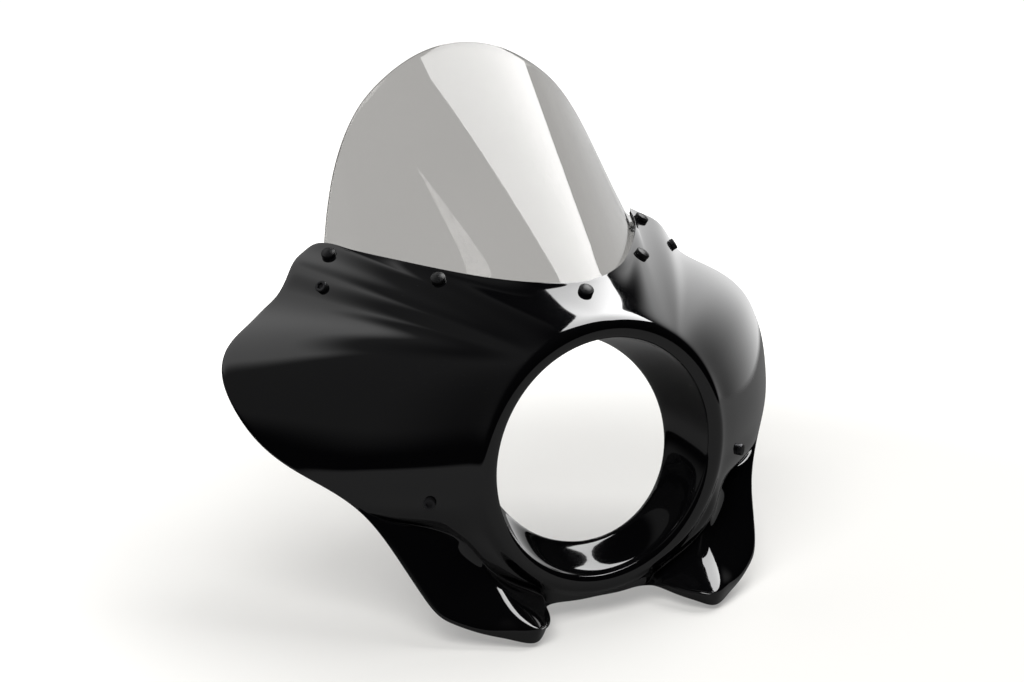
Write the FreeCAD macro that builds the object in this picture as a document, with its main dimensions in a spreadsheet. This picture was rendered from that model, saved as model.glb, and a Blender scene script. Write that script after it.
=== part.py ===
import FreeCAD, Part
import math
import os

V = FreeCAD.Vector

# Semi-fairing of a motorcycle: a moulded shell around a round headlight
# opening, a bent acrylic windscreen behind its brow, two steel brackets
# and the fasteners. Millimetres. Z is up, the shell faces -Y, X is across,
# and the origin is the centre of the opening's front rim.

sizes = {
    # headlight opening
    "opening_diameter": 200.0,
    "rim_width": 18.0,
    "rim_crown": 2.4,
    "lip_round": 3.6,
    "throat_width": 175.6,
    "throat_height": 160.4,
    "throat_depth": 54.8,
    "throat_rise": 2.8,
    "throat_lean": 19.3,
    # moulding
    "wall": 3.0,
    # corners of the free edge: out from the middle, back, up
    "nose_back": 43.0,
    "nose_up": 138.6,
    "brow_end_out": 157.0,
    "brow_end_back": 217.5,
    "brow_end_up": 153.8,
    "notch_out": 201.0,
    "notch_back": 206.0,
    "notch_up": 113.0,
    "wing_tip_out": 262.2,
    "wing_tip_back": 170.0,
    "wing_tip_up": 55.0,
    "fin_root_out": 192.4,
    "fin_root_back": 61.5,
    "fin_root_up": -32.7,
    "fin_heel_out": 150.0,
    "fin_heel_back": 1.0,
    "fin_heel_up": -111.0,
    "fin_toe_out": 83.5,
    "fin_toe_back": -36.5,
    "fin_toe_up": -131.0,
    "chin_corner_out": 49.9,
    "chin_corner_back": 10.6,
    "chin_corner_up": -122.8,
    "chin_back": 8.0,
    "chin_up": -122.0,
    # crown of the skin between rim and free edge
    "nose_crown": -2.0,
    "brow_crown": 0.0,
    "brow_end_crown": 5.5,
    "ridge_crown": 6.5,
    "valley_crown": 8.0,
    "shoulder_crown": 12.0,
    "wing_crown": 11.0,
    "low_wing_crown": 7.5,
    "cheek_crown": 2.0,
    "edge_turn": 1.0,
    # fins: the step above their crease, their fold and the flange round their edge
    "fin_step": 3.5,
    "crease_gap": 6.5,
    "crease_back": 6.0,
    "fold_upper_out": 109.3,
    "fold_upper_back": 7.7,
    "fold_upper_up": -83.9,
    "fold_middle_out": 96.9,
    "fold_middle_back": -14.7,
    "fold_middle_up": -101.6,
    "fin_flange": 5.0,
    "toe_flange": 12.5,
    "flange_lean": 3.0,
    # windscreen
    "screen_thick": 3.0,
    "screen_gap": 2.6,
    "screen_lap": 20.0,
    "screen_top_back": 252.0,
    "screen_top_up": 311.0,
    "screen_shoulder_out": 108.2,
    "screen_shoulder_back": 246.8,
    "screen_shoulder_up": 250.6,
    # windscreen fasteners, placed by their share of the brow's edge
    "screw_inset": 11.4,
    "centre_screw_share": 0.0,
    "inner_screw_share": 0.475,
    "outer_screw_share": 0.91,
    "screw_head_diameter": 12.6,
    "screw_head_side": 2.8,
    "screw_head_dome": 1.9,
    "screw_shank_diameter": 5.0,
    "screw_shank_length": 15.0,
    "screw_hole_diameter": 6.2,
    "spacer_diameter": 10.0,
    "spacer_thick": 0.8,
    "nut_flange_diameter": 11.8,
    "nut_flange_thick": 1.3,
    "nut_hex": 8.0,
    "nut_height": 5.0,
    # bracket bolts, each brought to the nearest point of the skin
    "upper_bolt_out": 170.8,
    "upper_bolt_back": 172.3,
    "upper_bolt_up": 125.6,
    "lower_bolt_out": 145.0,
    "lower_bolt_back": 28.3,
    "lower_bolt_up": -21.9,
    "bolt_diameter": 6.0,
    "bolt_length": 20.0,
    "bolt_head_diameter": 10.0,
    "bolt_head_height": 5.4,
    "bolt_socket_hex": 5.0,
    "bolt_socket_depth": 3.0,
    "bolt_hole_diameter": 6.8,
    "thread_clearance": 0.15,
    "cushion_diameter": 18.0,
    "cushion_thick": 4.0,
    "bolt_nut_flange": 14.2,
    "bolt_nut_flange_thick": 1.6,
    "bolt_nut_hex": 10.0,
    "bolt_nut_height": 6.0,
    # brackets
    "bracket_width": 22.0,
    "bracket_thick": 3.0,
    "bracket_pad": 11.0,
    "bracket_flat": 34.0,
    "plate_out": 148.0,
    "clamp_hole_diameter": 8.5,
    # gap left between pieces that bear on curved faces
    "seat_gap": 0.05,
}

doc = FreeCAD.newDocument("SemiFairing")
sheet = doc.addObject("Spreadsheet::Sheet", "Sizes")
for row, (name, value) in enumerate(sizes.items(), start=1):
    sheet.set("A%d" % row, name)
    sheet.set("B%d" % row, str(value))
    sheet.setAlias("B%d" % row, name)
doc.recompute()


def size(name):
    return float(sheet.get(name))


def corner(name):
    return V(size(name + "_out"), size(name + "_back"), size(name + "_up"))


def part_way(start, end, shares):
    """Points between two corners, each by its share of the way in X, Y and Z."""
    span = end - start
    return [start + V(span.x * x, span.y * y, span.z * z) for x, y, z in shares]


def mirrored(point):
    return V(-point.x, point.y, point.z)


def curve_through(points, parameters):
    curve = Part.BSplineCurve()
    curve.interpolate(Points=points, Parameters=parameters)
    return curve


# Free edge of the right half, from the nose over the brow, down the wing
# and round the fin to the chin. Each stretch runs between two corners.
nose = V(0, size("nose_back"), size("nose_up"))
chin = V(0, size("chin_back"), size("chin_up"))
corners = [nose, corner("brow_end"), corner("notch"), corner("wing_tip"), corner("fin_root"),
           corner("fin_heel"), corner("fin_toe"), corner("chin_corner"), chin]
stretches = [
    [(0.20, 0.06, 0.05), (0.37, 0.175, 0.17), (0.58, 0.39, 0.44), (0.78, 0.64, 0.78), (0.93, 0.90, 1.05)],
    [(0.205, -0.04, 0.118), (0.52, 0.50, 0.30), (0.745, 0.93, 0.64)],
    [(0.16, 0.03, 0.12), (0.38, 0.20, 0.25), (0.76, 0.43, 0.50), (0.95, 0.70, 0.75)],
    [(0.02, 0.11, 0.15), (0.17, 0.34, 0.44), (0.40, 0.57, 0.64), (0.68, 0.79, 0.79)],
    [(0.39, 0.30, 0.33), (0.80, 0.82, 0.84)],
    [(0.13, 0.18, 0.25), (0.41, 0.51, 0.60), (0.75, 0.86, 0.87)],
    [(0.21, 0.09, 0.25), (0.62, 0.47, 0.68)],
    [(0.50, 0.60, 0.60)],
]
edge_points = []
edge_marks = []
for start, end, shares in zip(corners, corners[1:], stretches):
    edge_marks.append(len(edge_points))
    edge_points.append(start)
    edge_points.extend(part_way(start, end, shares))
edge_marks.append(len(edge_points))
edge_points.append(chin)

# Arc length along the edge is the parameter that all guides share.
parameters = [0.0]
for before, after in zip(edge_points, edge_points[1:]):
    parameters.append(parameters[-1] + (after - before).Length)
stations = [parameters[mark] for mark in edge_marks]
lead = parameters[1] - parameters[0]
tail = parameters[-1] - parameters[-2]
edge_guide = curve_through([mirrored(edge_points[1])] + edge_points + [mirrored(edge_points[-2])],
                           [-lead] + parameters + [parameters[-1] + tail])

# Where each corner's section leaves the rim, in degrees from +X, and how
# far the skin stands out from the straight line between rim and edge.
angle_at = [90, 60, 51.5, 26, -11, -32, -59, -67.5, -90]
ridge_angle, shoulder_angle, low_wing_angle = 56, 44, 7
brow_ridge = 0.65 * stations[1] + 0.35 * stations[2]
shoulder = 0.6 * stations[2] + 0.4 * stations[3]
low_wing = 0.5 * (stations[3] + stations[4])
angle_marks = list(zip(stations, angle_at)) + [(brow_ridge, ridge_angle), (shoulder, shoulder_angle),
                                               (low_wing, low_wing_angle), (-stations[1], 180 - angle_at[1]),
                                               (2 * stations[8] - stations[7], -180 - angle_at[7])]
crown_marks = [(stations[0], size("nose_crown")), (0.5 * stations[1], size("brow_crown")),
               (-0.5 * stations[1], size("brow_crown")), (stations[1], size("brow_end_crown")),
               (brow_ridge, size("ridge_crown")), (stations[2], size("valley_crown")),
               (shoulder, size("shoulder_crown")), (stations[3], size("wing_crown")),
               (low_wing, size("low_wing_crown")), (stations[4], size("cheek_crown")), (stations[5], 0), (stations[8], 0)]


def guide_of(marks):
    marks = sorted(marks)
    return curve_through([V(place, value, 0) for place, value in marks], [place for place, value in marks])


angle_guide = guide_of(angle_marks)
crown_guide = guide_of(crown_marks)


def angle(place):
    return math.radians(angle_guide.value(place).y)


def around(place, radius, back, rise=0.0, stretch=1.0):
    """Point on the circle or oval of the opening at this section."""
    turn = angle(place)
    return V(radius * math.cos(turn), back, rise + radius * stretch * math.sin(turn))


opening_radius = size("opening_diameter") / 2
rim_radius = opening_radius + size("rim_width")
rim_crown = size("rim_crown")
lip = size("lip_round")
rim_fall = 3.0
wall = size("wall")
fin_start, fin_heel, fin_toe, fin_end = stations[4:8]


def share_of(place, start, end):
    return min(max((place - start) / (end - start), 0.0), 1.0)


def smooth(share):
    return share * share * (3 - 2 * share)


def crease_point(place):
    """Foot of the fin, from its root on the free edge to the chin corner."""
    near_rim = rim_radius + size("crease_gap")
    root = edge_guide.value(fin_start)
    fade = 1 - share_of(place, fin_start, fin_heel)
    radius = near_rim + (math.hypot(root.x, root.z) - near_rim) * fade ** 1.2
    back = size("crease_back") + (root.y - size("crease_back")) * fade ** 1.4
    return around(place, radius, back)


def rim_points(place):
    """Throat wall, rounded lip and crowned rim, from the inside outwards."""
    oval = around(place, size("throat_width") / 2, 0, size("throat_rise"),
                  size("throat_height") / size("throat_width"))
    lean = math.tan(math.radians(size("throat_lean")))
    throat = V(oval.x, size("throat_depth") + lean * (oval.z - size("throat_rise")), oval.z)
    mouth = around(place, opening_radius + 0.2, lip * 1.15)
    inside = [throat + (mouth - throat) * share for share in (0, 0.5, 1)]
    front = [around(place, opening_radius - 0.3, -0.2),
             around(place, opening_radius + lip, -0.75 * rim_crown),
             around(place, opening_radius + 0.5 * size("rim_width"), -rim_crown),
             around(place, opening_radius + 0.84 * size("rim_width"), -0.6 * rim_crown),
             around(place, rim_radius, rim_fall)]
    return inside + front


def shoulder_point(place):
    """Where the fin's face meets its flange."""
    flange = flange_guide.value(place).y
    return edge_guide.value(place) + V(0, -size("flange_lean") * flange / size("toe_flange"), flange)


# Height of the flange and line of the fold, from the fin's root to the chin corner.
fin_middle = 0.5 * (fin_start + fin_heel)
toe_middle = 0.5 * (fin_heel + fin_toe)
flange_guide = guide_of([(fin_start, 0), (fin_middle, 0.5 * size("fin_flange")), (fin_heel, size("fin_flange")),
                         (toe_middle, 1.2 * size("fin_flange")), (fin_toe, size("toe_flange")), (fin_end, 0)])
fold_guide = curve_through(
    [edge_guide.value(fin_start), crease_point(fin_middle) * 0.6 + edge_guide.value(fin_middle) * 0.4,
     corner("fold_upper"), corner("fold_middle"), shoulder_point(fin_toe),
     (crease_point(fin_end) + edge_guide.value(fin_end)) * 0.5],
    [fin_start, fin_middle, fin_heel, toe_middle, fin_toe, fin_end])

even_span = 30.0
cheek_shares = ((0.25, 0.3), (0.60, 0.9), (0.88, 1.0))
edge_shares = (0.12, 0.40, 0.70, 0.93, 1.0)


def outward(place):
    """Outward normal of the ruled skin, evened over a span so that corners don't twist it."""
    before = max(place - even_span, -lead)
    after = min(place + even_span, parameters[-1] + tail)
    across = edge_guide.value(after) - edge_guide.value(before) \
        + around(after, rim_radius, rim_fall) - around(before, rim_radius, rim_fall)
    out = across.cross(edge_guide.value(place) - around(place, rim_radius, rim_fall))
    out.normalize()
    return out if out.y < 0 else out * -1


def skin_points(place):
    """Skin from the rim to the free edge, then the edge's own turned lip."""
    foot = around(place, rim_radius, rim_fall)
    end = edge_guide.value(place)
    chord = end - foot
    out = outward(place)
    crown = crown_guide.value(place).y
    in_fin = fin_start < place < fin_end
    step = size("fin_step") * smooth(share_of(place, fin_start - 30, fin_start + 30)) \
        * (1 - smooth(share_of(place, fin_toe, fin_end)))
    fold = 0.55 + 0.41 * smooth(share_of(place, fin_start - 150, fin_start))
    if place > fin_end:
        fold = 0.75 - 0.2 * smooth(share_of(place, fin_end, stations[8]))
    crease = crease_point(place) if in_fin else foot + chord * fold
    points = []
    for share, raised in cheek_shares:
        along_ray = share * (1 if in_fin else fold)
        rise = 4 * along_ray * (1 - along_ray) * crown + step * raised
        points.append(foot + (crease - foot) * share + out * rise)
    points.append(crease + out * (0 if in_fin else 4 * fold * (1 - fold) * crown))
    if in_fin:
        middle, brink = fold_guide.value(place), shoulder_point(place)
        points += [crease + (middle - crease) * 0.3, middle, (middle + brink) * 0.5, brink, end]
    else:
        for share in edge_shares:
            along_ray = fold + share * (1 - fold)
            points.append(crease + (end - crease) * share + out * (4 * along_ray * (1 - along_ray) * crown))
    points.append(end - out * size("edge_turn"))
    return points


section_counts = [8, 6, 6, 6, 5, 5, 4, 3]
places = [0.0]
for start, end, count in zip(stations, stations[1:], section_counts):
    places.extend(start + (end - start) * k / count for k in range(1, count + 1))
right_half = [rim_points(place) + skin_points(place) for place in places]
left_half = [[mirrored(point) for point in section] for section in right_half]
outer_net = right_half[::-1] + left_half[1:-1]


def passing(net, rounds):
    """Shift the sections so that the smooth skin passes nearer to them."""
    rows = len(net)
    shifted = net
    for _ in range(rounds):
        shifted = [[shifted[i][j] + net[i][j] - (shifted[i - 1][j] + shifted[i][j] * 4
                    + shifted[(i + 1) % rows][j]) / 6 for j in range(len(net[0]))] for i in range(rows)]
    return shifted


outer_net = passing(outer_net, 2)


def inward_normal(net, i, j):
    rows = len(net)
    across = net[(i + 1) % rows][j] - net[(i - 1) % rows][j]
    last = len(net[0]) - 1
    along = net[i][min(j + 1, last)] - net[i][max(j - 1, 0)]
    normal = across.cross(along)
    normal.normalize()
    return normal


lip_corner = 3
inner_columns = [j for j in range(len(outer_net[0])) if j != lip_corner]
inner_net = [[outer_net[i][j] + inward_normal(outer_net, i, j) * wall for j in inner_columns]
             for i in range(len(outer_net))]


def skin_surface(net):
    """Cubic skin over a net of sections, closed round the opening."""
    rows, columns = len(net), len(net[0])
    skin = Part.BSplineSurface()
    skin.buildFromPolesMultsKnots(net, [1] * (rows + 1), [4] + [1] * (columns - 4) + [4],
                                  list(range(rows + 1)), list(range(columns - 2)), True, False, 3, 3)
    return skin


outer_skin = skin_surface(outer_net)
inner_skin = skin_surface(inner_net)
outer_face = outer_skin.toShape()
inner_face = inner_skin.toShape()
v_low, v_high = outer_skin.bounds()[2:]
w_low, w_high = inner_skin.bounds()[2:]
throat_edge = Part.makeRuledSurface(outer_skin.vIso(v_low).toShape(), inner_skin.vIso(w_low).toShape())
free_edge = Part.makeRuledSurface(outer_skin.vIso(v_high).toShape(), inner_skin.vIso(w_high).toShape())
skins = Part.makeShell([outer_face, inner_face, throat_edge, free_edge])
skins.sewShape()
moulding = Part.makeSolid(skins)

inside_point = V(0, nose.y * 4, 0)


def skin_at(nominal):
    """Point of the outer skin nearest to a place, and its outward normal."""
    u, v = outer_skin.parameter(nominal)
    point = outer_skin.value(u, v)
    normal = outer_skin.normal(u, v)
    if normal.dot(point - inside_point) < 0:
        normal = normal * -1
    return point, normal


def on_skin(place, inset):
    """Point on the outer skin, an inset square to the free edge, and its outward normal."""
    end = edge_guide.value(place)
    along = edge_guide.tangent(place)[0]
    ray = around(place, rim_radius, rim_fall) - end
    ray.normalize()
    square = along.cross(outward(place))
    if square.dot(ray) < 0:
        square = square * -1
    square.normalize()
    return skin_at(end + square * inset)


# Windscreen: a bent sheet whose lap lies behind the brow. Straight lines
# run up it from the brow's edge to its own rear edge.
brow_length = stations[1]
base_share = 0.965
screen_top = V(0, size("screen_top_back"), size("screen_top_up"))
screen_side = V(size("screen_shoulder_out"), size("screen_shoulder_back"), size("screen_shoulder_up"))
lap_depth = wall + size("screen_gap")


def lap_point(place, inset):
    """Point of the screen's front face behind the brow."""
    point = on_skin(place, inset)[0] if inset else edge_guide.value(place)
    return point - outward(place) * lap_depth


base_end = lap_point(brow_length * base_share, 0.0) + V(0, 3, 3)
crown_points = [screen_top] + part_way(screen_top, screen_side, [(0.22, 0.1, 0.035), (0.43, 0.15, 0.16),
                                                                 (0.65, 0.5, 0.38), (0.84, 0.7, 0.65)])
crown_points += [screen_side] + part_way(screen_side, base_end, [(0.36, 0.15, 0.27), (0.62, 0.35, 0.53),
                                                                 (0.82, 0.63, 0.77), (0.94, 0.84, 0.91)])
crown_points.append(base_end)
crown_lengths = [0.0]
for before, after in zip(crown_points, crown_points[1:]):
    crown_lengths.append(crown_lengths[-1] + (after - before).Length)
screen_guide = curve_through([mirrored(crown_points[1])] + crown_points, [-crown_lengths[1]] + crown_lengths)
screen_sections = 18
lap_insets = (1.0, 0.5, 0.0)
lap_spread = 0.0
rise_shares = (0.35, 0.7, 1.0)
half_screen = []
for k in range(screen_sections + 1):
    share = k / screen_sections
    place = brow_length * base_share * share
    lap = [lap_point(place * (1 + lap_spread * inset), size("screen_lap") * inset) for inset in lap_insets]
    far = screen_guide.value(crown_lengths[-1] * share * share)
    half_screen.append(lap + [lap[-1] + (far - lap[-1]) * rise for rise in rise_shares])
screen_net = [[mirrored(point) for point in section] for section in half_screen[:0:-1]] + half_screen


def sheet_surface(net):
    rows, columns = len(net), len(net[0])
    skin = Part.BSplineSurface()
    skin.buildFromPolesMultsKnots(net, [4] + [1] * (rows - 4) + [4], [4] + [1] * (columns - 4) + [4],
                                  list(range(rows - 2)), list(range(columns - 2)), False, False, 3, 3)
    return skin


def sheet_normal(net, i, j):
    across = net[min(i + 1, len(net) - 1)][j] - net[max(i - 1, 0)][j]
    along = net[i][min(j + 1, len(net[0]) - 1)] - net[i][max(j - 1, 0)]
    normal = across.cross(along)
    normal.normalize()
    return normal if normal.y > 0 else normal * -1


back_net = [[screen_net[i][j] + sheet_normal(screen_net, i, j) * size("screen_thick")
             for j in range(len(screen_net[0]))] for i in range(len(screen_net))]
front_sheet = sheet_surface(screen_net)
back_sheet = sheet_surface(back_net)
u_low, u_high, v_low, v_high = front_sheet.bounds()
sides = [Part.makeRuledSurface(front_sheet.uIso(u).toShape(), back_sheet.uIso(u).toShape()) for u in (u_low, u_high)]
sides += [Part.makeRuledSurface(front_sheet.vIso(v).toShape(), back_sheet.vIso(v).toShape()) for v in (v_low, v_high)]
sheet_skins = Part.makeShell([front_sheet.toShape(), back_sheet.toShape()] + sides)
sheet_skins.sewShape()
pane = Part.makeSolid(sheet_skins)


def height_over(skin, start, normal):
    """Height of a skin along a line through the start point."""
    place = start
    for _ in range(4):
        found = skin.value(*skin.parameter(place))
        place = start + normal * (found - start).dot(normal)
    return (place - start).dot(normal)


def bearing(skin, centre, normal, radius):
    """Height at which a disc of this radius comes down on a skin."""
    side = normal.cross(V(0, 0, 1))
    side.normalize()
    other = normal.cross(side)
    heights = [height_over(skin, centre, normal)]
    for turn in range(0, 360, 30):
        way = side * math.cos(math.radians(turn)) + other * math.sin(math.radians(turn))
        heights.append(height_over(skin, centre + way * radius, normal))
    return max(heights)


seat_gap = size("seat_gap")
screw_seats = {key: on_skin(brow_length * size(key + "_screw_share"), size("screw_inset"))
               for key in ("centre", "inner", "outer")}
for vector in screw_seats["centre"]:
    vector.x = 0
bolt_seats = {key: skin_at(corner(key + "_bolt")) for key in ("upper", "lower")}


def placed(point, normal):
    return FreeCAD.Placement(point, FreeCAD.Rotation(V(0, 0, 1), normal))


def both_sides(key, point, normal):
    """Names and seats of the right fastener and its mirror image."""
    if key == "centre":
        return [(key, point, normal)]
    return [("right_" + key, point, normal), ("left_" + key, mirrored(point), mirrored(normal))]


def primitive(body, kind, at, **bound):
    """One feature of a body, its sizes bound to the sheet, its base at a height."""
    item = body.newObject("PartDesign::" + kind, kind)
    for name, formula in bound.items():
        item.setExpression(name, formula)
    item.setExpression("Placement.Base.z", at)
    return item


def dress(body, kind, radius, chosen):
    """Fillet or chamfer on the round edges of the body at the chosen height and radius."""
    doc.recompute()
    tip = body.Tip
    names = ["Edge%d" % (k + 1) for k, edge in enumerate(tip.Shape.Edges)
             if not edge.Degenerated and isinstance(edge.Curve, Part.Circle)
             and chosen(edge.Curve.Center.z, edge.Curve.Radius)]
    item = body.newObject("PartDesign::" + kind, kind)
    item.Base = (tip, names)
    item.setExpression("Radius" if kind == "Fillet" else "Size", radius)
    return item


def near(one, other):
    return abs(one - other) < 0.01


def body_at(label, point, normal):
    body = doc.addObject("PartDesign::Body", label)
    body.Label = label
    body.Placement = placed(point, normal)
    return body


def cap_screw(label, point, normal):
    """Domed screw that holds the windscreen; its seat is at height 0."""
    body = body_at(label, point, normal)
    head, dome = "Sizes.screw_head_diameter", "Sizes.screw_head_dome"
    ball = "((%s / 2) ^ 2 + %s ^ 2) / (2 * %s)" % (head, dome, dome)
    primitive(body, "AdditiveCylinder", "0", Radius=head + " / 2", Height="Sizes.screw_head_side")
    primitive(body, "AdditiveSphere", "Sizes.screw_head_side + %s - %s" % (dome, ball), Radius=ball,
              Angle1="asin((%s - %s) / (%s))" % (ball, dome, ball))
    primitive(body, "AdditiveCylinder", "-Sizes.screw_shank_length", Radius="Sizes.screw_shank_diameter / 2",
              Height="Sizes.screw_shank_length + Sizes.screw_head_side / 2")
    dress(body, "Fillet", "Sizes.screw_head_side / 4",
          lambda z, r: near(z, size("screw_head_side")) and near(2 * r, size("screw_head_diameter")))
    return body


def socket_bolt(label, point, normal):
    """Hexagon socket bolt that holds a bracket; its seat is at height 0."""
    body = body_at(label, point, normal)
    primitive(body, "AdditiveCylinder", "0", Radius="Sizes.bolt_head_diameter / 2", Height="Sizes.bolt_head_height")
    primitive(body, "AdditiveCylinder", "-Sizes.bolt_length", Radius="Sizes.bolt_diameter / 2",
              Height="Sizes.bolt_length + Sizes.bolt_head_height / 4")
    dress(body, "Chamfer", "Sizes.bolt_head_height / 9",
          lambda z, r: near(z, size("bolt_head_height")) and near(2 * r, size("bolt_head_diameter")))
    primitive(body, "SubtractivePrism", "Sizes.bolt_head_height - Sizes.bolt_socket_depth",
              Circumradius="Sizes.bolt_socket_hex / 2 / cos(30)", Height="Sizes.bolt_socket_depth")
    return body


def washer(label, point, normal, outer, thick, bore):
    """Rubber disc hanging below its seat."""
    body = body_at(label, point, normal)
    primitive(body, "AdditiveCylinder", "-" + thick, Radius=outer + " / 2", Height=thick)
    primitive(body, "SubtractiveCylinder", "-" + thick, Radius=bore + " / 2", Height=thick)
    return body


def flange_nut(label, point, normal, flange, flange_thick, hexagon, height, bore):
    """Flanged hexagon nut hanging below its seat."""
    body = body_at(label, point, normal)
    primitive(body, "AdditiveCylinder", "-" + flange_thick, Radius=flange + " / 2", Height=flange_thick)
    primitive(body, "AdditivePrism", "-" + height, Circumradius=hexagon + " / 2 / cos(30)", Height=height)
    primitive(body, "SubtractiveCylinder", "-" + height, Radius=bore + " / 2 + Sizes.thread_clearance", Height=height)
    return body


def cutter(label, point, normal, diameter, reach):
    """Drill through a wall, its axis along the fastener's."""
    tool = doc.addObject("Part::Cylinder", label)
    tool.setExpression("Radius", diameter + " / 2")
    tool.Height = 2 * reach
    tool.Placement = placed(point - normal * reach, normal)
    return tool


def drilled(label, base, tools):
    group = doc.addObject("Part::Compound", label + "_holes")
    group.Links = tools
    cut = doc.addObject("Part::Cut", label)
    cut.Label = label
    cut.Base = base
    cut.Tool = group
    return cut


pieces = []
shell_holes = []
screen_holes = []
for key, (point, normal) in screw_seats.items():
    head_seat = bearing(outer_skin, point, normal, size("screw_head_diameter") / 2) + seat_gap
    spacer_seat = bearing(inner_skin, point, normal * -1, size("spacer_diameter") / 2) + seat_gap
    nut_seat = bearing(back_sheet, point, normal * -1, size("nut_flange_diameter") / 2) + seat_gap
    for name, at, way in both_sides(key, point, normal):
        pieces.append(cap_screw("screen_screw_" + name, at + way * head_seat, way))
        pieces.append(washer("screen_washer_" + name, at - way * spacer_seat, way, "Sizes.spacer_diameter",
                             "Sizes.spacer_thick", "Sizes.screw_hole_diameter"))
        pieces.append(flange_nut("screen_nut_" + name, at - way * nut_seat, way, "Sizes.nut_flange_diameter",
                                 "Sizes.nut_flange_thick", "Sizes.nut_hex", "Sizes.nut_height",
                                 "Sizes.screw_shank_diameter"))
        shell_holes.append(cutter("shell_hole_" + name, at, way, "Sizes.screw_hole_diameter", 12))
        screen_holes.append(cutter("screen_hole_" + name, at, way, "Sizes.screw_hole_diameter", 12))

pads = {}
for key, (point, normal) in bolt_seats.items():
    head_seat = bearing(outer_skin, point, normal, size("bolt_head_diameter") / 2) + seat_gap
    cushion_seat = bearing(inner_skin, point, normal * -1, size("cushion_diameter") / 2) + seat_gap
    pad_seat = cushion_seat + size("cushion_thick") + seat_gap
    nut_seat = pad_seat + size("bracket_thick") + seat_gap
    pads[key] = (point - normal * (pad_seat + size("bracket_thick") / 2), normal)
    for name, at, way in both_sides(key, point, normal):
        pieces.append(socket_bolt("bracket_bolt_" + name, at + way * head_seat, way))
        pieces.append(washer("bracket_washer_" + name, at - way * cushion_seat, way, "Sizes.cushion_diameter",
                             "Sizes.cushion_thick", "Sizes.bolt_hole_diameter"))
        pieces.append(flange_nut("bracket_nut_" + name, at - way * nut_seat, way, "Sizes.bolt_nut_flange",
                                 "Sizes.bolt_nut_flange_thick", "Sizes.bolt_nut_hex", "Sizes.bolt_nut_height",
                                 "Sizes.bolt_diameter"))
        shell_holes.append(cutter("bolt_hole_" + name, at, way, "Sizes.bolt_hole_diameter", 12))

# Brackets: a strap from the lower pad to the upper one, twisted through an
# upright plate in the middle that takes the fork clamp's bolt.
lower_pad, lower_way = pads["lower"]
upper_pad, upper_way = pads["upper"]
plate_centre = V(size("plate_out"), 0.5 * (lower_pad.y + upper_pad.y), 0.5 * (lower_pad.z + upper_pad.z))
plate_way = V(0, 1, 0)


def strap_section(centre, way, heading):
    """Rectangle across the strap: its thickness along one way, its width across the heading."""
    across = way.cross(heading)
    across.normalize()
    half_width = across * (size("bracket_width") / 2)
    half_thick = way * (size("bracket_thick") / 2)
    ring = [centre + half_width + half_thick, centre - half_width + half_thick,
            centre - half_width - half_thick, centre + half_width - half_thick]
    return Part.makePolygon(ring + [ring[0]])


def level_heading(way, towards):
    heading = towards - way * towards.dot(way)
    heading.normalize()
    return heading


run = upper_pad - lower_pad
sections = []
for centre, way, reach in ((lower_pad, lower_way, size("bracket_pad")), (plate_centre, plate_way, size("bracket_flat") / 2),
                           (upper_pad, upper_way, size("bracket_pad"))):
    heading = level_heading(way, run)
    sections.append(strap_section(centre - heading * reach, way, heading))
    sections.append(strap_section(centre + heading * reach, way, heading))
strap = Part.makeLoft(sections, True, True)
if strap.Volume < 0:
    strap.reverse()

for side, flip in (("right", False), ("left", True)):
    blank = doc.addObject("Part::Feature", side + "_strap")
    blank.Shape = strap.mirror(V(0, 0, 0), V(1, 0, 0)) if flip else strap
    tools = []
    for key, (centre, way) in list(pads.items()) + [("clamp", (plate_centre, plate_way))]:
        at, heading = (mirrored(centre), mirrored(way)) if flip else (centre, way)
        diameter = "Sizes.clamp_hole_diameter" if key == "clamp" else "Sizes.bolt_hole_diameter"
        tools.append(cutter("%s_%s_pad_hole" % (side, key), at, heading, diameter, 6))
    pieces.append(drilled(side + "_bracket", blank, tools))

shell_blank = doc.addObject("Part::Feature", "moulding")
shell_blank.Shape = moulding
pane_blank = doc.addObject("Part::Feature", "pane")
pane_blank.Shape = pane
pieces.append(drilled("fairing_shell", shell_blank, shell_holes))
pieces.append(drilled("windscreen", pane_blank, screen_holes))
doc.recompute()

for item in doc.Objects:
    if "Invalid" in item.State or "Error" in item.State:
        raise RuntimeError(item.Name + " did not recompute")
os.makedirs("parts", exist_ok=True)
for piece in pieces:
    if piece.Shape.isNull() or not piece.Shape.isValid() or piece.Shape.Volume <= 0:
        raise RuntimeError(piece.Label + " has no valid shape")
    piece.Shape.exportStep("parts/%s.step" % piece.Label)
print("pieces", len(pieces))
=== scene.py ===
import math

import bmesh
import bpy
import numpy as np
from mathutils import Matrix, Vector
from mathutils.bvhtree import BVHTree


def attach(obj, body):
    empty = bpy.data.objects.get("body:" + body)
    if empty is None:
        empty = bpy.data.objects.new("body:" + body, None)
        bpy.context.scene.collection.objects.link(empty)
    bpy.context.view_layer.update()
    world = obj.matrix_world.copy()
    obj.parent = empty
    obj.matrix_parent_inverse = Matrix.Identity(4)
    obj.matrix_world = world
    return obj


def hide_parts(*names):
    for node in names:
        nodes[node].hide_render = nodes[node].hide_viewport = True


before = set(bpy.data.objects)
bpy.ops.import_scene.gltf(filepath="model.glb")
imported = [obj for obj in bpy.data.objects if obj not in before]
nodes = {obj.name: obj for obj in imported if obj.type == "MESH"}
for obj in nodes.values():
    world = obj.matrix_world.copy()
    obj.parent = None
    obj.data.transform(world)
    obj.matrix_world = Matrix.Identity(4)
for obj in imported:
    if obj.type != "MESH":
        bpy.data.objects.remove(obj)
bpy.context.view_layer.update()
mm = 0.001


# Small helpers

def hexColour(code, alpha=1.0):
    values = [int(code[k:k + 2], 16) / 255 for k in (0, 2, 4)]
    return [v / 12.92 if v <= 0.04045 else ((v + 0.055) / 1.055) ** 2.4 for v in values] + [alpha]


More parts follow.
